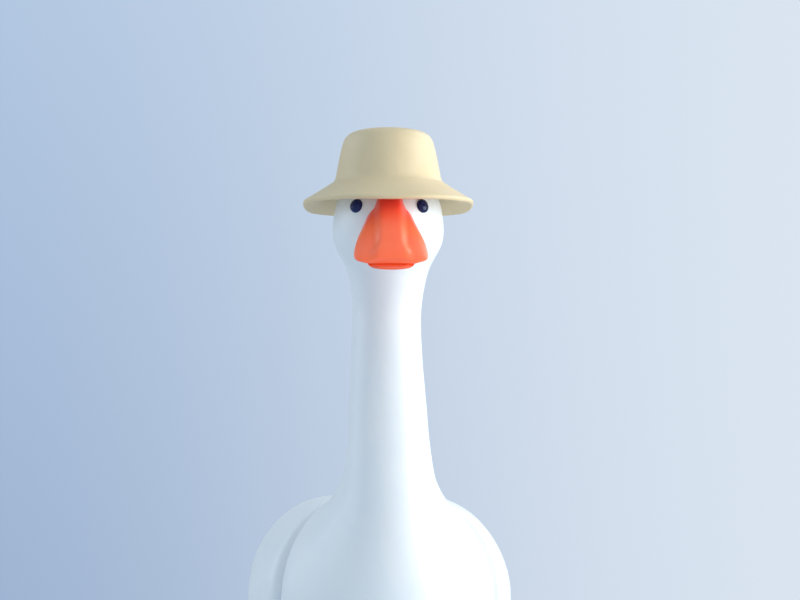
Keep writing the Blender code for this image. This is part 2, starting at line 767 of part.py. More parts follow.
def foot_outline(x):
    """A webbed foot from above: three toes with a web between them, and a round heel."""
    heel, length, spread = 6.5, 32.0, math.radians(58)
    points = []
    count = 40
    for k in range(count):
        angle = -math.pi + 2 * math.pi * k / count
        blend = 0.5 + 0.5 * math.cos(math.pi * min(1.0, abs(angle) / spread) ** 3.2)
        web = 1 - 0.13 * (0.5 - 0.5 * math.cos(2 * math.pi * angle / math.radians(36)))
        reach = heel + (length * web - heel) * blend
        points.append((x + reach * math.sin(angle) * MM, -reach * math.cos(angle) * MM))
    return points


def foot(name, side, orange):
    x = side * LEG_X
    low = BASE_TOP + GAP
    made = piece(name, extruded(foot_outline(x), low, FOOT_TOP), orange)
    ankle = rod((x, 0, low + 1 * MM), (x, 0, ANKLE_TOP), 7.0 * MM, SMALL_ROUND, 4.6 * MM)
    combine(made, "UNION", ankle)
    socket = rod((x, 0, LEG_BOTTOM - GAP), (x, 0, ANKLE_TOP + 3 * MM), 3.5 * MM, SMALL_ROUND)
    hole = rod((x, 0, 0), (x, 0, LEG_BOTTOM + 1 * MM), LEG_HOLE_RADIUS, SMALL_ROUND)
    return combine(made, "DIFFERENCE", socket, hole)


def oval_rings(levels, sides=40):
    """Rings of an oval base; each level is (inset, height)."""
    return [
        circle((0, 0, height), (BASE_HALF_X - inset, BASE_HALF_Y - inset), sides) for inset, height in levels
    ]


def base_cover(beige):
    low = PAD_THICKNESS + GAP
    outside = [(1.0 * MM, low), (0.0, low + 1.2 * MM), (0.0, 6.0 * MM), (1.0 * MM, 8.4 * MM)]
    outside += [(2.8 * MM, 9.6 * MM), (5.0 * MM, BASE_TOP)]
    made = piece("base_cover", loft(oval_rings(outside)), beige)
    inside = loft(oval_rings([(3.0 * MM, 0.0), (3.0 * MM, PLATE_HIGH + GAP)]))
    holes = [rod((side * LEG_X, 0, 0), (side * LEG_X, 0, 20 * MM), LEG_HOLE_RADIUS, SMALL_ROUND) for side in (-1, 1)]
    return combine(made, "DIFFERENCE", inside, joined(*holes))


def ballast_plate(steel):
    made = piece("ballast_plate", loft(oval_rings([(3.6 * MM, PLATE_LOW), (3.6 * MM, PLATE_HIGH)])), steel)
    holes = [rod((side * LEG_X, 0, 0), (side * LEG_X, 0, 20 * MM), LEG_HOLE_RADIUS, SMALL_ROUND) for side in (-1, 1)]
    return combine(made, "DIFFERENCE", joined(*holes))


def base_pad(rubber):
    return piece("base_pad", loft(oval_rings([(1.4 * MM, 0.0), (1.4 * MM, PAD_THICKNESS)])), rubber)


def main():
    for old in list(bpy.data.objects):
        bpy.data.objects.remove(old)

    white = material("white_vinyl", (0.93, 0.94, 0.95), 0.32)
    orange = material("orange_plastic", (0.93, 0.25, 0.09), 0.3)
    beige = material("beige_vinyl", (0.74, 0.69, 0.50), 0.55)
    navy = material("eye_navy", (0.01, 0.015, 0.05), 0.08)
    steel = material("steel", (0.62, 0.62, 0.63), 0.3, 1.0)
    brass = material("brass", (0.78, 0.6, 0.3), 0.3, 1.0)
    iron = material("cast_iron", (0.16, 0.16, 0.17), 0.6, 0.6)
    rubber = material("rubber", (0.05, 0.05, 0.055), 0.8)

    bird = joint_empty("dip_pivot", (0, 0, AXLE_HEIGHT))
    lift = joint_empty("hat_lift", (0, HEAD_Y, 228.6 * MM))

    body_shell(white, bird)
    belly_pan(white, bird)
    screws("pan_screw", steel, bird, SCREW_PLACES, PAN_SCREW_SEAT - GAP, PAN_SCREW_END, *PAN_SCREW)
    counterweight(iron, bird)
    screws("weight_screw", steel, bird, WEIGHT_SCREWS, COUNTERWEIGHT_TOP + GAP, WEIGHT_SCREW_TIP, *WEIGHT_SCREW)
    axle_bush("left_axle_bush", 1, brass, bird)
    axle_bush("right_axle_bush", -1, brass, bird)
    right_twin("right_wing", left_wing(white, bird), white, bird)
    upper_bill(orange, bird)
    lower_bill(orange, bird)
    right_twin("right_eye", left_eye(navy, bird), navy, bird, head_turn())
    hat(beige, lift)

    axle(steel)
    axle_cap("left_axle_cap", 1, steel)
    axle_cap("right_axle_cap", -1, steel)
    leg("left_leg", 1, orange)
    leg("right_leg", -1, orange)
    foot("left_foot", 1, orange)
    foot("right_foot", -1, orange)
    base_cover(beige)
    ballast_plate(steel)
    base_pad(rubber)
    leg_places = [(LEG_X, 0), (-LEG_X, 0)]
    screws("leg_screw", steel, None, leg_places, PLATE_LOW - GAP, LEG_SCREW_TIP, *LEG_SCREW)


main()
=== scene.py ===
"""The looks of the goose desk toy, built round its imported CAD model.

The goose faces -Y, +Z is up, and its left side is +X. The camera's, lights' and surroundings'
lengths are in metres, and so are those with MM. Tables and other plain sizes are in
millimetres, as in the CAD source, and are multiplied by MM where they are used.
"""

import json
import math

import bmesh
import bpy
from mathutils import Matrix, Vector
from mathutils.bvhtree import BVHTree

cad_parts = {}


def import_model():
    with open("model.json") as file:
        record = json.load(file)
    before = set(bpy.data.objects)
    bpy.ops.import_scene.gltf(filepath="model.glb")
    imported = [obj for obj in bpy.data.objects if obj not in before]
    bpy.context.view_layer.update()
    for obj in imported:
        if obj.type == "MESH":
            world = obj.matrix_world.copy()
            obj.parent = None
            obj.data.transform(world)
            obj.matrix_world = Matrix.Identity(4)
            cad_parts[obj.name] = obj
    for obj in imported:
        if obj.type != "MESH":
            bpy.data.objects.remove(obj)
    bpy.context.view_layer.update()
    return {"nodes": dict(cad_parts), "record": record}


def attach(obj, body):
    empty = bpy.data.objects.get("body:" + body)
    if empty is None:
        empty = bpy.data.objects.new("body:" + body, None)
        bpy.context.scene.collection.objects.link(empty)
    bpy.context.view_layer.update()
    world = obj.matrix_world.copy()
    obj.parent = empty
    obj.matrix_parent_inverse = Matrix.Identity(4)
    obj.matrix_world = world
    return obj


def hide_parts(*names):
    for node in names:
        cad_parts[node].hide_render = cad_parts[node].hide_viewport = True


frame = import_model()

MM = 0.001
WALL = 1.8 * MM
GAP = 0.3 * MM
AXLE_HEIGHT = 90.0 * MM
PARTING_HEIGHT = 66.0 * MM
HEAD_Y = -26.0 * MM
HEAD_TURN = math.radians(4.5)
HEAD_TURN_SPAN = (170.0 * MM, 204.0 * MM)

# The goose's stations from tail to crown, in mm: back line (y, z), breast line (y, z), half width, fullness
GOOSE = [
    (93.0, 103.9, 94.5, 101.2, 4.0, 2.0),
    (86.5, 104.6, 89.0, 96.4, 10.5, 2.1),
    (75.0, 106.0, 79.0, 88.8, 18.0, 2.1),
    (59.0, 108.4, 65.0, 76.0, 27.0, 2.1),
    (41.0, 111.4, 45.0, 59.0, 35.5, 2.1),
    (22.0, 114.2, 22.0, 46.3, 40.3, 2.05),
    (6.0, 116.8, -6.0, 41.3, 41.2, 2.0),
    (-4.5, 119.8, -32.0, 49.0, 38.8, 2.0),
    (-10.0, 123.3, -48.0, 67.0, 35.2, 2.0),
    (-13.2, 128.4, -53.5, 90.0, 24.9, 2.0),
    (-13.8, 137.0, -50.0, 114.0, 16.7, 2.0),
    (-13.6, 147.0, -43.8, 132.5, 14.2, 2.0),
    (-11.6, 159.0, -37.8, 149.0, 13.4, 2.0),
    (-8.8, 173.5, -33.6, 168.0, 12.4, 2.0),
    (-6.8, 188.0, -31.6, 186.0, 12.1, 2.0),
    (-5.8, 201.0, -35.6, 199.0, 14.2, 2.0),
    (-5.8, 212.0, -43.8, 208.5, 18.8, 2.0),
    (-6.6, 221.5, -46.5, 219.0, 18.5, 2.0),
    (-10.5, 231.0, -41.8, 230.5, 15.3, 2.0),
    (-14.5, 238.5, -37.5, 238.5, 11.4, 2.0),
    (-21.0, 243.6, -31.0, 243.6, 5.0, 2.0),
]
TAIL_TIP = (95.0, 102.7)
HEAD_TOP = (-26.0, 244.4)
LAST = len(GOOSE) - 1

WING_OUTLINE = [
    (-3.0, 116.4),
    (-13.0, 112.5),
    (-21.0, 100.0),
    (-24.0, 84.0),
    (-14.0, 69.0),
    (10.0, 60.5),
    (34.0, 62.5),
    (56.0, 71.0),
    (71.5, 84.0),
    (82.5, 94.5),
    (78.0, 99.0),
    (60.0, 104.6),
    (38.0, 109.7),
    (18.0, 113.4),
]
WING_CENTRE = (24.0, 90.0)


def smooth_step(low, high, value):
    share = min(1.0, max(0.0, (value - low) / (high - low)))
    return share * share * (3 - 2 * share)


# Shader nodes


def mixed(tree, one, other, factor):
    """A colour between two, by a factor socket."""
    node = tree.nodes.new("ShaderNodeMix")
    node.data_type = "RGBA"
    for socket, value in (("A", one), ("B", other)):
        if isinstance(value, tuple):
            node.inputs[socket].default_value = (*value, 1)
        else:
            tree.links.new(value, node.inputs[socket])
    tree.links.new(factor, node.inputs["Factor"])
    return node.outputs["Result"]


def ranged(tree, value, low, high, out_low, out_high, interpolation="SMOOTHSTEP"):
    node = tree.nodes.new("ShaderNodeMapRange")
    node.interpolation_type = interpolation
    for name, number in (("From Min", low), ("From Max", high), ("To Min", out_low), ("To Max", out_high)):
        node.inputs[name].default_value = number
    tree.links.new(value, node.inputs["Value"])
    return node.outputs["Result"]


def speckle(tree, scale, detail=2.0, stretch=(1, 1, 1), distortion=0.0):
    """A noise's value in the piece's own space; scale is in features per metre."""
    add, link = tree.nodes.new, tree.links.new
    place, fit, node = add("ShaderNodeTexCoord"), add("ShaderNodeMapping"), add("ShaderNodeTexNoise")
    fit.inputs["Scale"].default_value = stretch
    node.inputs["Scale"].default_value = scale
    node.inputs["Detail"].default_value = detail
    node.inputs["Distortion"].default_value = distortion
    link(place.outputs["Object"], fit.inputs["Vector"])
    link(fit.outputs["Vector"], node.inputs["Vector"])
    return node.outputs["Fac"]


def bumped(tree, value, depth, before=None):
    node = tree.nodes.new("ShaderNodeBump")
    node.inputs["Strength"].default_value = 1.0
    node.inputs["Distance"].default_value = depth
    tree.links.new(value, node.inputs["Height"])
    if before is not None:
        tree.links.new(before, node.inputs["Normal"])
    return node.outputs["Normal"]


def shader(name):
    made = bpy.data.materials.new(name)
    made.use_nodes = True
    return made, made.node_tree, made.node_tree.nodes["Principled BSDF"].inputs


# Camera, lights and surroundings


CAMERA_AZIMUTH = math.radians(-6.0)
CAMERA_DISTANCE = 0.380
CAMERA_TARGET = Vector((0.0, HEAD_Y, 0.190))
CAMERA_LENS = 49.5
CAMERA_SENSOR = 36.0
CAMERA_SHIFT = 0.01475

# Each light: azimuth and elevation in degrees, distance and size in metres, watts, colour
LIGHTS = {
    "key": (66, 8, 0.75, (0.6, 0.8), 6.4, (1.0, 0.99, 0.94)),
    "rim": (122, 38, 0.75, (0.5, 0.5), 1.6, (1.0, 0.99, 0.97)),
    "fill": (-100, 25, 0.8, (0.6, 0.8), 1.4, (0.80, 0.90, 1.0)),
}
LIGHT_TARGET = Vector((0, -0.02, 0.15))

# The backdrop that the camera sees, by the goose's own sides, and where it changes along X and Z. Its change
# is painted light and shade on a wall: lighter at the goose's left, darker at its right and lower down
BACKDROP_RIGHT_LOW = (0.315, 0.430, 0.622)
BACKDROP_RIGHT_HIGH = (0.443, 0.572, 0.760)
BACKDROP_LEFT = (0.705, 0.783, 0.880)
BACKDROP_ACROSS = (-0.34, 0.50)
BACKDROP_UP = (-0.30, 0.30)

# The even light that reaches the goose from all round
ROOM_COLOUR = (0.62, 0.74, 0.85)
ROOM_STRENGTH = 0.77

FLOOR_RADIUS = 0.31
FLOOR_FADE = (0.15, 0.30)
FLOOR_DROP = 0.05 * MM
FLOOR_COLOUR = (0.72, 0.77, 0.83)


def camera():
    data = bpy.data.cameras.new("camera")
    made = bpy.data.objects.new("camera", data)
    bpy.context.scene.collection.objects.link(made)
    back = Vector((math.sin(CAMERA_AZIMUTH), -math.cos(CAMERA_AZIMUTH), 0))
    made.location = CAMERA_TARGET + back * CAMERA_DISTANCE
    made.rotation_euler = (math.pi / 2, 0, CAMERA_AZIMUTH)
    data.sensor_width = CAMERA_SENSOR
    data.lens = CAMERA_LENS
    data.shift_x = CAMERA_SHIFT
    data.clip_start = 0.01
    bpy.context.scene.camera = made


def area_light(name, azimuth, elevation, distance, size, power, colour):
    """A soft box that faces the goose's middle. Azimuth 0 is in front, and 90 is at the goose's left."""
    data = bpy.data.lights.new(name, "AREA")
    data.shape = "RECTANGLE"
    data.size, data.size_y = size
    data.energy = power
    data.color = colour
    made = bpy.data.objects.new(name, data)
    bpy.context.scene.collection.objects.link(made)
    a, e = math.radians(azimuth), math.radians(elevation)
    way = Vector((math.sin(a) * math.cos(e), -math.cos(a) * math.cos(e), math.sin(e)))
    made.location = LIGHT_TARGET + way * distance
    made.rotation_euler = way.to_track_quat("Z", "Y").to_euler()


def world():
    """A pale blue studio: the goose is lit by an even room colour, and the camera sees a backdrop with
    painted light and shade, lighter at the goose's left, darker at its right and lower down.
    """
    made = bpy.data.worlds.new("studio")
    bpy.context.scene.world = made
    made.use_nodes = True
    tree = made.node_tree
    tree.nodes.clear()
    add, link = tree.nodes.new, tree.links.new
    place, split = add("ShaderNodeTexCoord"), add("ShaderNodeSeparateXYZ")
    link(place.outputs["Generated"], split.inputs[0])
    up = ranged(tree, split.outputs["Z"], *BACKDROP_UP, 0, 1, "LINEAR")
    across = ranged(tree, split.outputs["X"], *BACKDROP_ACROSS, 0, 1)
    # Painted shade: the backdrop darkens towards the bottom and towards the goose's right.
    right = mixed(tree, BACKDROP_RIGHT_LOW, BACKDROP_RIGHT_HIGH, up)
    seen, light = add("ShaderNodeBackground"), add("ShaderNodeBackground")
    link(mixed(tree, right, BACKDROP_LEFT, across), seen.inputs["Color"])
    light.inputs["Color"].default_value = (*ROOM_COLOUR, 1)
    light.inputs["Strength"].default_value = ROOM_STRENGTH
    path, mix, output = add("ShaderNodeLightPath"), add("ShaderNodeMixShader"), add("ShaderNodeOutputWorld")
    link(path.outputs["Is Camera Ray"], mix.inputs["Fac"])
    link(light.outputs[0], mix.inputs[1])
    link(seen.outputs[0], mix.inputs[2])
    link(mix.outputs[0], output.inputs["Surface"])


def floor():
    """A round pale table top whose rim fades into the surroundings."""
    bm = bmesh.new()
    bmesh.ops.create_circle(bm, cap_ends=True, radius=FLOOR_RADIUS, segments=128)
    bmesh.ops.translate(bm, verts=bm.verts, vec=(0, 0, -FLOOR_DROP))
    mesh = bpy.data.meshes.new("floor")
    bm.to_mesh(mesh)
    bm.free()
    made = bpy.data.objects.new("floor", mesh)
    bpy.context.scene.collection.objects.link(made)
    paint = bpy.data.materials.new("floor_paint")
    paint.use_nodes = True
    tree = paint.node_tree
    tree.nodes.clear()
    add, link = tree.nodes.new, tree.links.new
    output, mix = add("ShaderNodeOutputMaterial"), add("ShaderNodeMixShader")
    clear, matt = add("ShaderNodeBsdfTransparent"), add("ShaderNodeBsdfDiffuse")
    matt.inputs["Color"].default_value = (*FLOOR_COLOUR, 1)
    place, length = add("ShaderNodeTexCoord"), add("ShaderNodeVectorMath")
    length.operation = "LENGTH"
    link(place.outputs["Object"], length.inputs[0])
    link(ranged(tree, length.outputs["Value"], *FLOOR_FADE, 0, 1), mix.inputs["Fac"])
    link(matt.outputs[0], mix.inputs[1])
    link(clear.outputs[0], mix.inputs[2])
    link(mix.outputs[0], output.inputs["Surface"])
    mesh.materials.append(paint)


# Materials


def moulded(name, colour, shade, roughness, grain, grain_depth, coat=0.0, coat_roughness=0.1, specular=0.5):
    """Moulded or painted plastic: slightly uneven colour, uneven gloss, a fine skin and faint waves."""
    made, tree, sockets = shader(name)
    wide = speckle(tree, 45, 3, distortion=0.4)
    tree.links.new(mixed(tree, colour, shade, ranged(tree, wide, 0.35, 0.75, 0, 1)), sockets["Base Color"])
    smear = speckle(tree, 140, 4, distortion=1.0)
    tree.links.new(ranged(tree, smear, 0.3, 0.7, *roughness), sockets["Roughness"])
    waves = bumped(tree, wide, 0.35 * MM)
    tree.links.new(bumped(tree, speckle(tree, grain, 3), grain_depth, waves), sockets["Normal"])
    sockets["Coat Weight"].default_value = coat
    sockets["Coat Roughness"].default_value = coat_roughness
    sockets["Specular IOR Level"].default_value = specular
    return made


def metal(name, colour, shade, roughness, stretch, depth):
    """Turned or rolled metal with fine drag lines and a few dull patches."""
    made, tree, sockets = shader(name)
    lines = speckle(tree, 900, 4, stretch)
    patches = speckle(tree, 120, 3)
    tree.links.new(mixed(tree, colour, shade, ranged(tree, patches, 0.4, 0.7, 0, 1)), sockets["Base Color"])
    tree.links.new(ranged(tree, lines, 0.3, 0.7, *roughness), sockets["Roughness"])
    tree.links.new(bumped(tree, lines, depth), sockets["Normal"])
    sockets["Metallic"].default_value = 1.0
    return made


def finishes():
    """Every finish, by the record's slot name."""
    made = {
        "white_vinyl": moulded(
            "white_vinyl", (0.86, 0.885, 0.91), (0.82, 0.86, 0.90), (0.30, 0.40), 1500, 0.012 * MM,
            coat=0.12, coat_roughness=0.12,
        ),
        "orange_plastic": moulded(
            "orange_plastic", (0.90, 0.19, 0.065), (0.84, 0.155, 0.055), (0.28, 0.40), 1300, 0.015 * MM,
            coat=0.3, coat_roughness=0.3,
        ),
        "beige_vinyl": moulded(
            "beige_vinyl", (0.75, 0.60, 0.37), (0.71, 0.56, 0.325), (0.42, 0.56), 1100, 0.03 * MM,
            specular=0.8,
        ),
        "eye_navy": moulded(
            "eye_navy", (0.006, 0.018, 0.11), (0.003, 0.008, 0.05), (0.08, 0.14), 2000, 0.003 * MM,
            specular=0.3,
        ),
        "rubber": moulded("rubber", (0.035, 0.035, 0.04), (0.06, 0.06, 0.062), (0.7, 0.9), 1400, 0.05 * MM),
        "cast_iron": moulded(
            "cast_iron", (0.10, 0.10, 0.11), (0.16, 0.13, 0.11), (0.55, 0.8), 700, 0.16 * MM, specular=0.6
        ),
        "steel": metal("steel", (0.62, 0.62, 0.63), (0.52, 0.52, 0.53), (0.22, 0.42), (1, 0.2, 1), 0.01 * MM),
        "brass": metal("brass", (0.80, 0.60, 0.28), (0.66, 0.46, 0.2), (0.22, 0.4), (0.2, 1, 1), 0.01 * MM),
    }
    made["cast_iron"].node_tree.nodes["Principled BSDF"].inputs["Metallic"].default_value = 0.4
    return made


# Mesh helpers


def loft(rings):
    """A closed mesh through rings of points; a ring of one point is a pole."""
    bm = bmesh.new()
    made = [[bm.verts.new(point) for point in ring] for ring in rings]
    for low, high in zip(made, made[1:]):
        count = max(len(low), len(high))
        for k in range(count):
            n = (k + 1) % count
            corners = [low[k % len(low)], low[n % len(low)], high[n % len(high)], high[k % len(high)]]
            bm.faces.new(list(dict.fromkeys(corners)))
    for end in (made[0], made[-1]):
        if len(end) > 2:
            bm.faces.new(end)
    bmesh.ops.recalc_face_normals(bm, faces=bm.faces)
    if bm.calc_volume(signed=True) < 0:
        bmesh.ops.reverse_faces(bm, faces=bm.faces)
    return bm


def circle(centre, radius, sides, axis="Z"):
    across, up = (radius, radius) if isinstance(radius, float) else radius
    points = []
    for k in range(sides):
        angle = 2 * math.pi * k / sides
        a, b = across * math.cos(angle), up * math.sin(angle)
        offset = {"X": (0, a, b), "Y": (a, 0, b), "Z": (a, b, 0)}[axis]
        points.append(Vector(centre) + Vector(offset))
    return points


def turned(profile, centre_xy, sides):
    """A shape turned about the upright line through centre_xy; profile holds (radius, height) in metres."""
    rings = []
    for radius, height in profile:
        centre = (centre_xy[0], centre_xy[1], height)
        rings.append([Vector(centre)] if radius == 0 else circle(centre, radius, sides))
    return loft(rings)


def rod(start, end, radius, sides=32):
    start, end = Vector(start), Vector(end)
    turn = (end - start).to_track_quat("Z", "Y").to_matrix()
    ring = [turn @ point for point in circle((0, 0, 0), radius, sides)]
    return loft([[place + point for point in ring] for place in (start, end)])


def prism_x(outline, low, high):
    """A prism along X; outline holds (y, z) pairs in metres."""
    return loft([[Vector((x, y, z)) for y, z in outline] for x in (low, high)])


def joined(*meshes):
    whole = bmesh.new()
    for bm in meshes:
        mesh = bpy.data.meshes.new("joined")
        bm.to_mesh(mesh)
        bm.free()
        whole.from_mesh(mesh)
        bpy.data.meshes.remove(mesh)
    return whole


def smooth_row(rows, t):
    """Every column of rows at station t, on a Catmull-Rom curve."""
    i = min(int(t), len(rows) - 2)
    f = t - i
    near = (rows[max(i - 1, 0)], rows[i], rows[i + 1], rows[min(i + 2, len(rows) - 1)])
    return [
        0.5 * (2 * b + (c - a) * f + (2 * a - 5 * b + 4 * c - d) * f**2 + (3 * b - a - 3 * c + d) * f**3)
        for a, b, c, d in zip(*near)
    ]


def closed_curve(points, count):
    loop = points[-1:] + points + points[:2]
    span = len(points)
    return [smooth_row(loop, 1 + span * k / count) for k in range(count)]


def open_curve(points, steps):
    """Points along a smooth open curve, with so many steps between each two."""
    count = (len(points) - 1) * steps
    return [smooth_row(points, (len(points) - 1) * k / count) for k in range(count + 1)]


FINISH = finishes()


def piece(name, bm, slot, body, *nodes, sharp=40.0):
    """A named piece in the shared frame that rides on a body and stands for its CAD nodes."""
    mesh = bpy.data.meshes.new(name)
    bm.to_mesh(mesh)
    bm.free()
    made = bpy.data.objects.new(name, mesh)
    bpy.context.scene.collection.objects.link(made)
    mesh.materials.append(FINISH[slot])
    mesh.shade_smooth()
    mesh.set_sharp_from_angle(angle=math.radians(sharp))
    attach(made, body)
    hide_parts(*nodes)
    return made


def cut(bm, operation, *tools):
    """The mesh after cutting, joining or crossing it with each tool in turn."""
    mesh = bpy.data.meshes.new("work")
    bm.to_mesh(mesh)
    bm.free()
    made = bpy.data.objects.new("work", mesh)
    bpy.context.scene.collection.objects.link(made)
    for tool_bm in tools:
        tool_mesh = bpy.data.meshes.new("tool")
        tool_bm.to_mesh(tool_mesh)
        tool_bm.free()
        tool = bpy.data.objects.new("tool", tool_mesh)
        bpy.context.scene.collection.objects.link(tool)
        modifier = made.modifiers.new("boolean", "BOOLEAN")
        modifier.operation = operation
        modifier.object = tool
        bpy.context.view_layer.update()
        graph = bpy.context.evaluated_depsgraph_get()
        result = bpy.data.meshes.new_from_object(made.evaluated_get(graph))
        made.modifiers.clear()
        made.data = result
        bpy.data.objects.remove(tool)
    result = bmesh.new()
    result.from_mesh(made.data)
    bpy.data.objects.remove(made)
    return result


# The goose's surface


def head_turn(height=1.0):
    share = smooth_step(*HEAD_TURN_SPAN, height)
    axis_at = Matrix.Translation((0, HEAD_Y, 0))
    return axis_at @ Matrix.Rotation(-HEAD_TURN * share, 4, "Z") @ axis_at.inverted()


def goose_ring(t, sides):
    back_y, back_z, front_y, front_z, half_width, fullness = smooth_row(GOOSE, t)
    middle = Vector((0, back_y + front_y, back_z + front_z)) / 2
    reach = Vector((0, back_y - front_y, back_z - front_z)) / 2
    ring = []
    for k in range(sides):
        angle = 2 * math.pi * k / sides
        along = math.copysign(abs(math.cos(angle)) ** (2 / fullness), math.cos(angle))
        across = math.copysign(abs(math.sin(angle)) ** (2 / fullness), math.sin(angle))
        ring.append((middle + reach * along + Vector((half_width * across, 0, 0))) * MM)
    return ring


def goose_solid(grow=0.0, per_station=8, sides=144, first=0.0, last=LAST, relief=None):
    """The goose's outside as a closed mesh, moved out by grow, or by relief(point, normal) too."""
    count = round((last - first) * per_station)
    rings = [goose_ring(first + (last - first) * k / count, sides) for k in range(count + 1)]
    if first == 0:
        rings.insert(0, [Vector((0, *TAIL_TIP)) * MM])
    if last == LAST:
        rings.append([Vector((0, *HEAD_TOP)) * MM])
    bm = loft(rings)
    bm.normal_update()
    moves = []
    for vert in bm.verts:
        out = grow + (relief(vert.co, vert.normal) if relief else 0.0)
        moves.append(vert.normal * out)
    for vert, move in zip(bm.verts, moves):
        vert.co += move
        vert.co = head_turn(vert.co.z) @ vert.co
    return bm


OUTSIDE = BVHTree.FromBMesh(goose_solid())
WING_EDGE_LINE = [Vector(point) for point in closed_curve(WING_OUTLINE, 220)]


def body_side(y, z):
    """How far out the body's left side is at this place, in metres; y and z are in mm."""
    place = OUTSIDE.ray_cast(Vector((0.2, y * MM, z * MM)), Vector((-1, 0, 0)))[0]
    return place.x if place is not None else 0.0


def side_normal(y, z):
    step = 1.5
    slope_y = (body_side(y + step, z) - body_side(y - step, z)) / (2 * step * MM)
    slope_z = (body_side(y, z + step) - body_side(y, z - step)) / (2 * step * MM)
    return Vector((1, -slope_y, -slope_z)).normalized()


def lapped(lane, drop):
    """A slope across each lane that falls back from the share drop on, so that lanes lie like feathers."""
    share = lane - math.floor(lane)
    return share - smooth_step(drop, 1.0, share)


TAIL_STEP = 0.8 * MM
TAIL_LANES = 4.2


def tail_relief(point, normal):
    """Layered tail feathers: low steps that run back along the tail, above and below."""
    y = point.y / MM
    fade = smooth_step(64, 80, y) * (1 - smooth_step(91, 95, y)) * smooth_step(0.35, 0.7, abs(normal.z))
    if fade <= 0:
        return 0.0
    half = smooth_row(GOOSE, 0)[4] + 24.0 * smooth_step(95, 59, y)
    lane = abs(point.x / MM) / max(half, 4.0) * TAIL_LANES
    return -TAIL_STEP * fade * lapped(lane, 0.82)


VALLEY_DEPTH = 0.9 * MM
VALLEY_WIDTH = 2.2  # mm


def body_relief(point, normal):
    """A soft valley along the wing's edge, and the tail's feathers."""
    out = tail_relief(point, normal)
    y, z = point.y / MM, point.z / MM
    if abs(normal.x) > 0.12 and -30 < y < 95 and 50 < z < 122:
        here = Vector((y, z))
        near = min((here - edge).length_squared for edge in WING_EDGE_LINE)
        share = math.exp(-near / VALLEY_WIDTH**2) * (1 - smooth_step(-6, 6, y) * smooth_step(100, 110, z))
        rear = 1 - 0.6 * smooth_step(20, 70, y)
        out -= VALLEY_DEPTH * share * smooth_step(0.12, 0.4, abs(normal.x)) * rear
    return out


def half_shell(keep_above, height):
    """The goose's wall above or below a height: an outer and an inner skin, closed along the parting face."""
    skins = [
        goose_solid(relief=body_relief),
        goose_solid(-WALL, per_station=3, sides=48, first=2.4, last=LAST - 1.6),
    ]
    for skin in skins:
        geometry = skin.verts[:] + skin.edges[:] + skin.faces[:]
        bmesh.ops.bisect_plane(
            skin, geom=geometry, dist=1e-7, plane_co=(0, 0, height), plane_no=(0, 0, 1),
            clear_inner=keep_above, clear_outer=not keep_above,
        )
    bmesh.ops.reverse_faces(skins[1], faces=skins[1].faces)
    whole = joined(*skins)
    rim = [edge for edge in whole.edges if edge.is_boundary]
    bmesh.ops.triangle_fill(whole, use_beauty=True, edges=rim, normal=(0, 0, -1 if keep_above else 1))
    return whole


def body_shell():
    piece("goose_body", half_shell(True, PARTING_HEIGHT + GAP / 2), "white_vinyl", "bird", "body_shell")


LEG_X = 18.0 * MM
BUSH_X = 9.0 * MM
DIP_RANGE = (math.radians(-10.0), math.radians(55.0))
SLOT_REACH = 70 * MM
SLOT_HALF = 4.2 * MM
PILLAR_HALF = 6.5 * MM
PILLAR_THICK = 5.0 * MM
PILLAR_HOLE = 3.3 * MM
COLUMN_RADIUS = 4.2 * MM
COLUMN_HOLE = 2.9 * MM
COLUMN_FLOOR = 35 * MM
SCREW_PLACES = [(side * x * MM, y * MM) for side in (-1, 1) for x, y in ((26.5, -20.0), (26.5, 27.0))]


def leg_slot(side):
    """The space one leg sweeps in the belly pan, with room on each side."""
    first, last = DIP_RANGE
    steps = 16

    def point(angle, distance, shift):
        y = -math.sin(angle) * distance - math.cos(angle) * shift
        z = -math.cos(angle) * distance + math.sin(angle) * shift
        return (y, AXLE_HEIGHT + z)

    outline = [point(first, 0, -SLOT_HALF), point(first, SLOT_REACH, -SLOT_HALF)]
    outline += [point(first + (last - first) * k / steps, SLOT_REACH, 0) for k in range(1, steps)]
    outline += [point(last, SLOT_REACH, SLOT_HALF), point(last, 0, SLOT_HALF)]
    return prism_x(outline, side * LEG_X - SLOT_HALF, side * LEG_X + SLOT_HALF)


def belly_pan():
    """The lower shell with its leg slots, axle pillars and screw columns."""
    shell = half_shell(False, PARTING_HEIGHT - GAP / 2)
    angles = [math.pi * k / 16 for k in range(17)]
    pillar = [(PILLAR_HALF, COLUMN_FLOOR)]
    pillar += [(PILLAR_HALF * math.cos(a), AXLE_HEIGHT + PILLAR_HALF * math.sin(a)) for a in angles]
    pillar.append((-PILLAR_HALF, COLUMN_FLOOR))
    middles = [side * BUSH_X for side in (-1, 1)]
    parts = [prism_x(pillar, x - PILLAR_THICK / 2, x + PILLAR_THICK / 2) for x in middles]
    holes = [rod((-15 * MM, 0, AXLE_HEIGHT), (15 * MM, 0, AXLE_HEIGHT), PILLAR_HOLE)]
    for x, y in SCREW_PLACES:
        parts.append(rod((x, y, COLUMN_FLOOR), (x, y, PARTING_HEIGHT - GAP / 2), COLUMN_RADIUS))
        holes.append(rod((x, y, 30 * MM), (x, y, 60 * MM), COLUMN_HOLE))
    inside = cut(joined(*parts), "INTERSECT", goose_solid(-WALL / 2, per_station=2, sides=40))
    shell = cut(shell, "UNION", inside)
    shell = cut(shell, "DIFFERENCE", joined(*holes))
    shell = cut(shell, "DIFFERENCE", joined(leg_slot(-1), leg_slot(1)))
    piece("goose_belly", shell, "white_vinyl", "bird", "belly_pan")


# The wings


WING_EDGE = 0.9 * MM
WING_BULGE = 6.8 * MM
WING_SINK = 1.4 * MM
FEATHER_STEP = 0.9 * MM
FEATHER_FAN = math.radians(5.6)
FEATHER_CENTRE = (120, 112)  # where the feathers' edges would meet, behind the wing


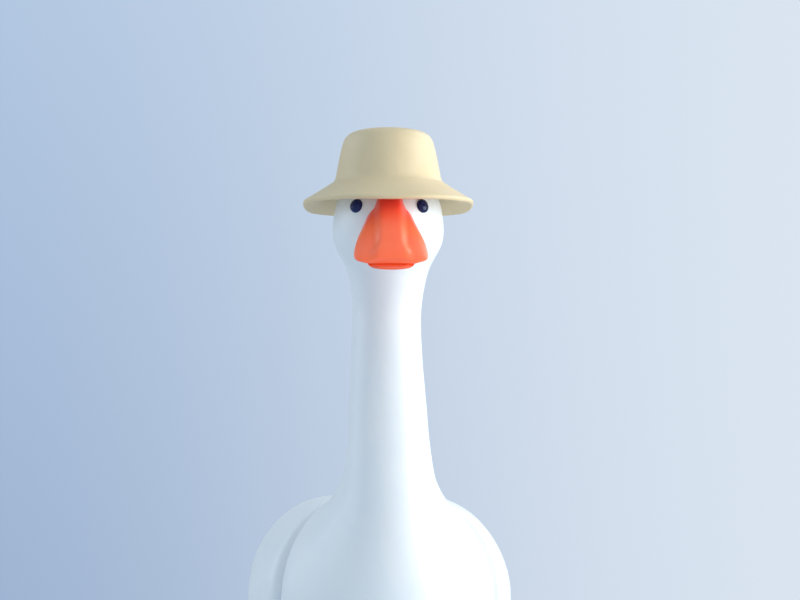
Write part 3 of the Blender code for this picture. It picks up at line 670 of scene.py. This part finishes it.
def feather_relief(y, z):
    """Long feathers that run back to the wing's tip, each a low step over the next, in metres."""
    fade = smooth_step(22, 38, y) * (1 - smooth_step(76, 82, y))
    if fade <= 0:
        return 0.0
    lane = math.atan2(FEATHER_CENTRE[1] - z, FEATHER_CENTRE[0] - y) / FEATHER_FAN
    return FEATHER_STEP * fade * (lapped(lane, 0.84) - 0.5)


def wing_thickness(share, y, z):
    """How far the wing stands out at a share of the way from its centre to its edge, in metres."""
    lean = 1 - 0.62 * max(0.0, (y - 15) / 70)
    power = 3.0 - 0.9 * smooth_step(96, 110, z)
    return WING_EDGE + WING_BULGE * lean * max(0.0, 1 - share**power) ** 0.5


def left_wing():
    """A folded wing whose rounded edge sinks into the body's valley."""
    rows, around = 26, 220
    outline = closed_curve(WING_OUTLINE, around)

    def point(share, edge, out):
        y = WING_CENTRE[0] + share * (edge[0] - WING_CENTRE[0])
        z = WING_CENTRE[1] + share * (edge[1] - WING_CENTRE[1])
        if out is None:
            out = wing_thickness(share, y, z) + feather_relief(y, z) * (1 - smooth_step(0.9, 1.0, share))
        return Vector((body_side(y, z), y * MM, z * MM)) + side_normal(y, z) * out

    shares = [math.sin(0.5 * math.pi * k / rows) for k in range(1, rows + 1)]
    rings = [[point(0, WING_CENTRE, None)]]
    rings += [[point(share, edge, None) for edge in outline] for share in shares]
    rings += [[point(share, edge, -WING_SINK) for edge in outline] for share in (1.0, 0.7, 0.35)]
    rings.append([point(0, WING_CENTRE, -WING_SINK)])
    return loft(rings)


def wings():
    left = left_wing()
    right = left.copy()
    bmesh.ops.transform(right, matrix=Matrix.Diagonal((-1, 1, 1, 1)), verts=right.verts)
    bmesh.ops.reverse_faces(right, faces=right.faces)
    piece("goose_left_wing", left, "white_vinyl", "bird", "left_wing", sharp=70)
    piece("goose_right_wing", right, "white_vinyl", "bird", "right_wing", sharp=70)


# The bill


# Each half's stations from the root to the tip, in mm: distance along, half width, height
UPPER_BILL = [
    (-4.0, 7.0, 8.4),
    (2.0, 7.8, 7.6),
    (8.0, 9.2, 6.2),
    (14.0, 10.6, 4.8),
    (20.0, 11.5, 3.6),
    (24.0, 11.6, 3.0),
    (26.0, 10.8, 2.3),
    (27.0, 9.0, 1.4),
]
LOWER_BILL = [
    (-2.0, 5.4, 4.4),
    (6.0, 6.0, 3.4),
    (14.0, 6.8, 2.6),
    (21.0, 7.6, 2.2),
    (25.5, 7.4, 1.7),
    (27.4, 6.4, 1.2),
    (28.2, 4.6, 0.7),
]
BILL_ROOT = Vector((0.0, -42.0, 217.1)) * MM
BILL_SLOPE = math.radians(36.0)
BILL_PARTING = 0.15  # mm from the middle to each half
BILL_LIP = 0.5  # mm


def bill_point(along, above, across=0.0):
    forward = Vector((0, -math.cos(BILL_SLOPE), -math.sin(BILL_SLOPE)))
    upward = Vector((0, -math.sin(BILL_SLOPE), math.cos(BILL_SLOPE)))
    return head_turn() @ (BILL_ROOT + (forward * along + upward * above + Vector((across, 0, 0))) * MM)


def bill_half(table, way, steps=12, sides=64):
    """One half of the bill; the upper one has a flat ridge between two hollow facets."""
    rings = []
    for along, half_width, height in open_curve(table, steps):
        ring = []
        for k in range(sides + 1):
            angle = math.pi * k / sides
            across = math.cos(angle)
            if way > 0:
                broad = 1.2 * smooth_step(19, 26, along)
                ridge = 1 - smooth_step(2.9 + broad, 5.6 + 1.5 * broad, abs(across) * half_width)
                dome = max(0.0, 1 - abs(across) ** 2.6) ** 0.7
                rise = height * (0.66 * dome + 0.34 * ridge * dome)
            else:
                rise = height * math.sin(angle) ** 0.9
            ring.append(bill_point(along, way * (BILL_PARTING + BILL_LIP + rise), half_width * across))
        for k in range(1, 12):
            ring.append(bill_point(along, way * BILL_PARTING, half_width * (-1 + k / 6)))
        rings.append(ring)
    return loft(rings)


# Painted shade: heights in mm over which the bill's colour deepens to the red root colour, where the brim's
# shadow falls.
BILL_BRIM_SHADE_SPAN = (211 * MM, 223 * MM)


def bill_finish(name, colour, shade, root):
    """The bill's orange, which deepens to red towards the root, up at the brow, as painted shade where the
    brim's shadow falls.
    """
    made = moulded(name, colour, shade, (0.28, 0.40), 1300, 0.015 * MM, coat=0.6, coat_roughness=0.32)
    tree, sockets = made.node_tree, made.node_tree.nodes["Principled BSDF"].inputs
    plain = sockets["Base Color"].links[0].from_socket
    place, split = tree.nodes.new("ShaderNodeTexCoord"), tree.nodes.new("ShaderNodeSeparateXYZ")
    tree.links.new(place.outputs["Object"], split.inputs[0])
    # The share of painted brim shade, rising towards the root.
    deep = ranged(tree, split.outputs["Z"], *BILL_BRIM_SHADE_SPAN, 0, 1)
    tree.links.new(mixed(tree, plain, root, deep), sockets["Base Color"])
    return made


def bill():
    # The last colour in each row is the root's red, painted shade under the brim.
    finish = {
        # Painted glow: red above 1 makes the bill give back more red light than falls on it, which brightens
        # its shaded facet.
        1: bill_finish("bill_orange", (1.28, 0.178, 0.052), (1.22, 0.148, 0.05), (1.05, 0.052, 0.03)),
        -1: bill_finish("lower_bill_orange", (1.15, 0.125, 0.035), (1.05, 0.105, 0.03), (0.9, 0.045, 0.03)),
    }
    for name, table, way in (("upper_bill", UPPER_BILL, 1), ("lower_bill", LOWER_BILL, -1)):
        made = piece(f"goose_{name}", bill_half(table, way), "orange_plastic", "bird", name)
        made.data.materials[0] = finish[way]


# Eyes


EYE_PLACE = (10.9, 221.1)
EYE_RADIUS = 2.35
EYE_DOME = 1.4


def eyes():
    turn = head_turn()
    for side, node in ((1, "left_eye"), (-1, "right_eye")):
        start = turn @ Vector((side * EYE_PLACE[0] * MM, -0.2, EYE_PLACE[1] * MM))
        place, normal, _, _ = OUTSIDE.ray_cast(start, turn.to_3x3() @ Vector((0, 1, 0)))
        frame_at = normal.to_track_quat("Z", "Y").to_matrix()
        profile = [(0.0, -1.0), (2.0, -1.0), (2.3, -0.6), (EYE_RADIUS, 0.0)]
        angles = [math.pi / 2 * k / 14 for k in range(14)]
        profile += [(EYE_RADIUS * math.cos(a), 0.1 + EYE_DOME * math.sin(a)) for a in angles]
        profile.append((0.0, 0.1 + EYE_DOME))
        rings = []
        for radius, height in profile:
            centre = Vector((0, 0, height * MM))
            local = [centre] if radius == 0 else circle(centre, radius * MM, 48)
            rings.append([place + frame_at @ point for point in local])
        piece(f"goose_{node}", loft(rings), "eye_navy", "bird", node)


# The hat


HAT_OUTSIDE = [
    (0.0, 248.6),
    (8.0, 248.4),
    (12.4, 247.5),
    (15.0, 245.4),
    (16.4, 241.0),
    (17.5, 235.5),
    (18.5, 231.2),
    (20.6, 229.3),
    (24.8, 226.0),
    (29.0, 222.2),
]
BRIM_EDGE = [(29.35, 221.6), (29.2, 221.0), (28.7, 220.8), (28.0, 221.2)]
HAT_INSIDE = [(24.0, 224.2), (20.4, 227.4), (17.6, 228.6), (0.0, 228.6)]


BRIM_ROOT = 18.3
BRIM_WIDTH = 11.0
BRIM_LIFT = 2.1
BRIM_CURL = 0.1
BRIM_DROP = 2.3
BRIM_DIP = 0.5


def brim_height(sideways, backward):
    """How far the brim's edge is above its turned place, in mm: up in front, with a dip, and down behind."""
    dip = BRIM_DIP * max(0.0, -backward) ** 14
    return BRIM_LIFT + BRIM_CURL * sideways**4 - BRIM_DROP * smooth_step(-0.3, 0.42, backward) - dip


def hat():
    """A bucket hat: a tapered crown, a soft fold and a drooping brim, hollowed to the head."""
    profile = open_curve(HAT_OUTSIDE, 7)
    profile += open_curve([HAT_OUTSIDE[-1]] + BRIM_EDGE, 3)[1:]
    profile += open_curve([BRIM_EDGE[-1]] + HAT_INSIDE, 5)[1:]
    rings = []
    for radius, height in profile:
        radius = max(0.0, radius)
        centre = Vector((0, HEAD_Y, height * MM))
        if radius < 0.01:
            rings.append([centre])
            continue
        ring = circle(centre, radius * MM, 144)
        reach = max(0.0, (radius - BRIM_ROOT) / BRIM_WIDTH) ** 2
        for point in ring:
            sideways, backward = point.x / (radius * MM), (point.y - HEAD_Y) / (radius * MM)
            point.z += reach * brim_height(sideways, backward) * MM
        rings.append([head_turn() @ point for point in ring])
    made = cut(loft(rings), "DIFFERENCE", goose_solid(1.2 * GAP, first=14, per_station=6, sides=96))
    piece("bucket_hat", made, "beige_vinyl", "hat", "hat", sharp=50)


# Screws


THREAD_PITCH = 0.9 * MM

# Each kind: CAD node, body, places, then in mm the seat, the tip, the head's radius and height, the shank
SCREWS = {
    "belly_screw": ("pan_screw", "bird", SCREW_PLACES, 59.7, 74, 2.5, 1.9, 1.2),
    "slug_screw": ("weight_screw", "bird", [(0, -22 * MM), (0, 20 * MM)], 66.3, 52, 2.5, 1.8, 1.0),
    "stand_screw": ("leg_screw", "stand", [(LEG_X, 0), (-LEG_X, 0)], 3.6, 25, 3.0, 1.6, 1.25),
}


def screw(name, node, body, place, seat, tip, head_radius, head_height, shank_radius):
    """A pan-head screw with a cross recess; the head bears on seat and the shank runs to tip."""
    way = math.copysign(1, tip - seat)
    length = abs(tip - seat)
    core = shank_radius * 0.84
    profile = [(0, -head_height)]
    for angle in [math.pi / 2 * k / 8 for k in range(8)]:
        radius = head_radius * (0.45 + 0.55 * math.sin(angle))
        profile.append((radius, -head_height + 0.6 * head_height * (1 - math.cos(angle))))
    profile += [(head_radius, -0.4 * head_height), (head_radius, 0), (shank_radius, 0)]
    for k in range(int((length - shank_radius) / THREAD_PITCH)):
        start = 0.2 * MM + k * THREAD_PITCH
        profile += [(core, start), (shank_radius, start + 0.35 * MM), (core, start + 0.7 * MM)]
    profile.append((0, length))
    bm = turned([(radius, way * height) for radius, height in profile], (0, 0), 32)
    deep, arm, half = 0.6 * head_height, 0.62 * head_radius, 0.13 * head_radius
    bars = []
    for size in ((arm, half), (half, arm)):
        low = [(x * size[0], y * size[1]) for x, y in ((-1, -1), (1, -1), (1, 1), (-1, 1))]
        heights = (-head_height - MM, -head_height + deep)
        bars.append(loft([[Vector((x, y, way * z)) for x, y in low] for z in heights]))
    bm = cut(bm, "DIFFERENCE", *bars)
    bmesh.ops.translate(bm, verts=bm.verts, vec=(*place, seat))
    piece(name, bm, "steel", body, node, sharp=35)


def screws():
    for name, (node, body, places, *sizes) in SCREWS.items():
        for number, place in enumerate(places, 1):
            screw(f"{name}_{number}", f"{node}_{number}", body, place, *[size * MM for size in sizes])


# The stand


BASE_HALF = (44.0, 52.0)
BASE_TOP = 10.0
BASE_ROUND = 4.2
SCUTES = 11
SCUTE_PITCH = 2.3
EYE_RING = [(1.62, -3.4), (4.7, -3.4), (5.0, -3.1), (5.0, 3.1), (4.7, 3.4), (1.62, 3.4)]
TOES = [math.radians(a) for a in (-36, 0, 36)]
HEEL = 6.5
TOE_LENGTH = 32.0
ANKLE_RIM = 6.9
ANKLE = [
    (6.6, 2.9),
    (6.1, 3.8),
    (5.6, 4.9),
    (5.2, 6.0),
    (4.9, 7.0),
    (4.6, 7.55),
    (4.2, 7.7),
    (3.55, 7.7),
    (3.4, 7.5),
    (3.4, 2.6),
]


def leg(name, side):
    """A leg with shallow scutes below the knee, and the eye for the axle at its top."""
    profile = [(0.0, 13.0), (2.9, 13.0), (3.1, 13.2), (3.1, 18.0)]
    for k in range(SCUTES):
        low = 18.6 + k * SCUTE_PITCH
        swell = 3.05 - 0.2 * smooth_step(0, SCUTES, k)
        profile += [(swell - 0.22, low), (swell, low + 0.5), (swell + 0.03, low + 1.2)]
        profile += [(swell, low + 1.9), (swell - 0.22, low + 2.28)]
    profile += [(2.8, 44.4), (2.75, 48.0), (2.85, 60.0), (2.9, 85.5), (2.4, 86.0), (0.0, 86.0)]
    x, sides = side * LEG_X, 48
    shaft = turned([(radius * MM, height * MM) for radius, height in profile], (x, 0), sides)
    eye = bmesh.new()
    rings = []
    for radius, level in EYE_RING:
        ring = circle((x + level * MM, 0, AXLE_HEIGHT), radius * MM, sides, "X")
        rings.append([eye.verts.new(point) for point in ring])
    for low, high in zip(rings, rings[1:] + rings[:1]):
        for k in range(sides):
            n = (k + 1) % sides
            eye.faces.new((low[k], low[n], high[n], high[k]))
    bmesh.ops.recalc_face_normals(eye, faces=eye.faces)
    piece(name, joined(shaft, eye), "orange_plastic", "stand", name.replace("goose_", ""), sharp=55)


def foot_edge(count):
    """The foot's outline as (angle, reach in mm): webbed toes in front of a round heel."""
    spread = math.radians(58)
    edge = []
    for k in range(count):
        angle = -math.pi + 2 * math.pi * k / count
        blend = 0.5 + 0.5 * math.cos(math.pi * min(1.0, abs(angle) / spread) ** 3.2)
        web = 1 - 0.13 * (0.5 - 0.5 * math.cos(2 * math.pi * angle / TOES[-1]))
        edge.append((angle, max(ANKLE_RIM + 0.12, HEEL + (TOE_LENGTH * web - HEEL) * blend)))
    return edge


def foot_top(angle, radius, reach):
    """Height of the toes and the web above the foot's underside, in mm."""
    ridge = 0.0
    for toe in TOES:
        if abs(angle - toe) < math.pi / 2:
            aside = radius * math.sin(angle - toe)
            ridge = max(ridge, math.exp(-((aside / (2.0 - 0.02 * radius)) ** 2)))
    knuckle = 0.12 * ridge * math.cos(radius * 0.95) * smooth_step(8, 12, radius)
    flat = 1.5 + 1.45 * ridge + knuckle
    lip = min(1.0, (reach - radius) / 1.6)
    return 0.35 + (flat - 0.35) * math.sqrt(max(0.0, 1 - (1 - lip) ** 2))


def foot(name, side):
    """A webbed foot: three long toes with thin web between them, and a raised ankle."""
    x, low = side * LEG_X / MM, BASE_TOP + 0.3
    edge = foot_edge(240)

    def ring(level):
        """A ring round the foot, where level(reach, angle) gives its radius and height in mm."""
        points = []
        for angle, reach in edge:
            radius, height = level(reach, angle)
            aside, forward = radius * math.sin(angle), radius * math.cos(angle)
            points.append(Vector((x + aside, -forward, low + height)) * MM)
        return points

    def crest(share):
        """The level a share of the way out from the ankle's rim to the foot's edge."""

        def level(reach, angle):
            radius = ANKLE_RIM + (reach - ANKLE_RIM) * share
            return radius, foot_top(angle, radius, reach + 0.01)

        return level

    rows = 40
    rings = [[Vector((x, 0, low)) * MM]]
    rings.append(ring(lambda reach, _: (reach * 0.5, 0.0)))
    rings.append(ring(lambda reach, _: (reach - 0.35, 0.0)))
    rings += [ring(crest(1 - (k / rows) ** 1.4)) for k in range(rows + 1)]
    rings += [ring(lambda *_: step) for step in ANKLE]
    rings.append([Vector((x, 0, low + ANKLE[-1][1])) * MM])
    piece(name, loft(rings), "orange_plastic", "stand", name.replace("goose_", ""), sharp=60)


def oval_plate(bottom, levels, top):
    """An oval plate through levels of (inset, height) in mm, closed at two heights."""
    rings = [[Vector((0, 0, bottom * MM))]]
    for inset, height in levels:
        rings.append(circle((0, 0, height * MM), [(half - inset) * MM for half in BASE_HALF], 160))
    return loft(rings + [[Vector((0, 0, top * MM))]])


def base():
    """The hollow oval cover, with a groove round its top and a rounded edge, and the pad below it."""
    outside = [(30.0, BASE_TOP), (12.0, BASE_TOP)]
    outside += [(9.6, 10.0), (9.2, 9.85), (8.8, 9.6), (8.2, 9.5), (7.6, 9.6), (7.2, 9.85), (6.8, 10.0)]
    for angle in [math.pi / 2 * k / 10 for k in range(11)]:
        inset = BASE_ROUND - BASE_ROUND * math.sin(angle)
        outside.append((inset, BASE_TOP - BASE_ROUND * (1 - math.cos(angle))))
    outside += [(0.0, 4.5), (0.0, 3.2), (0.25, 2.4), (0.6, 2.0), (1.0, 1.8), (3.0, 1.8), (3.0, 7.6)]
    piece("stand_base", oval_plate(BASE_TOP, outside, 7.6), "beige_vinyl", "stand", "base_cover")
    pad = [(1.9, 0.0), (1.55, 0.12), (1.4, 0.4), (1.4, 1.2), (1.6, 1.5)]
    piece("stand_pad", oval_plate(0, pad, 1.5), "rubber", "stand", "base_pad")


def inner_nodes():
    """CAD solids that keep their shape, such as the axle and the weights, each given its finish."""
    slots = {row["node"]: row["material_slot"] for row in frame["record"]["subparts"]}
    for name, node in frame["nodes"].items():
        if node.hide_render:
            continue
        node.data.materials.clear()
        node.data.materials.append(FINISH[slots[name]])
        node.data.set_sharp_from_angle(angle=math.radians(35))


bpy.context.scene.view_settings.view_transform = "Standard"
camera()
world()
floor()
for light, settings in LIGHTS.items():
    area_light(light, *settings)

body_shell()
belly_pan()
wings()
bill()
eyes()
hat()
screws()
leg("goose_left_leg", 1)
leg("goose_right_leg", -1)
foot("goose_left_foot", 1)
foot("goose_right_foot", -1)
base()
inner_nodes()
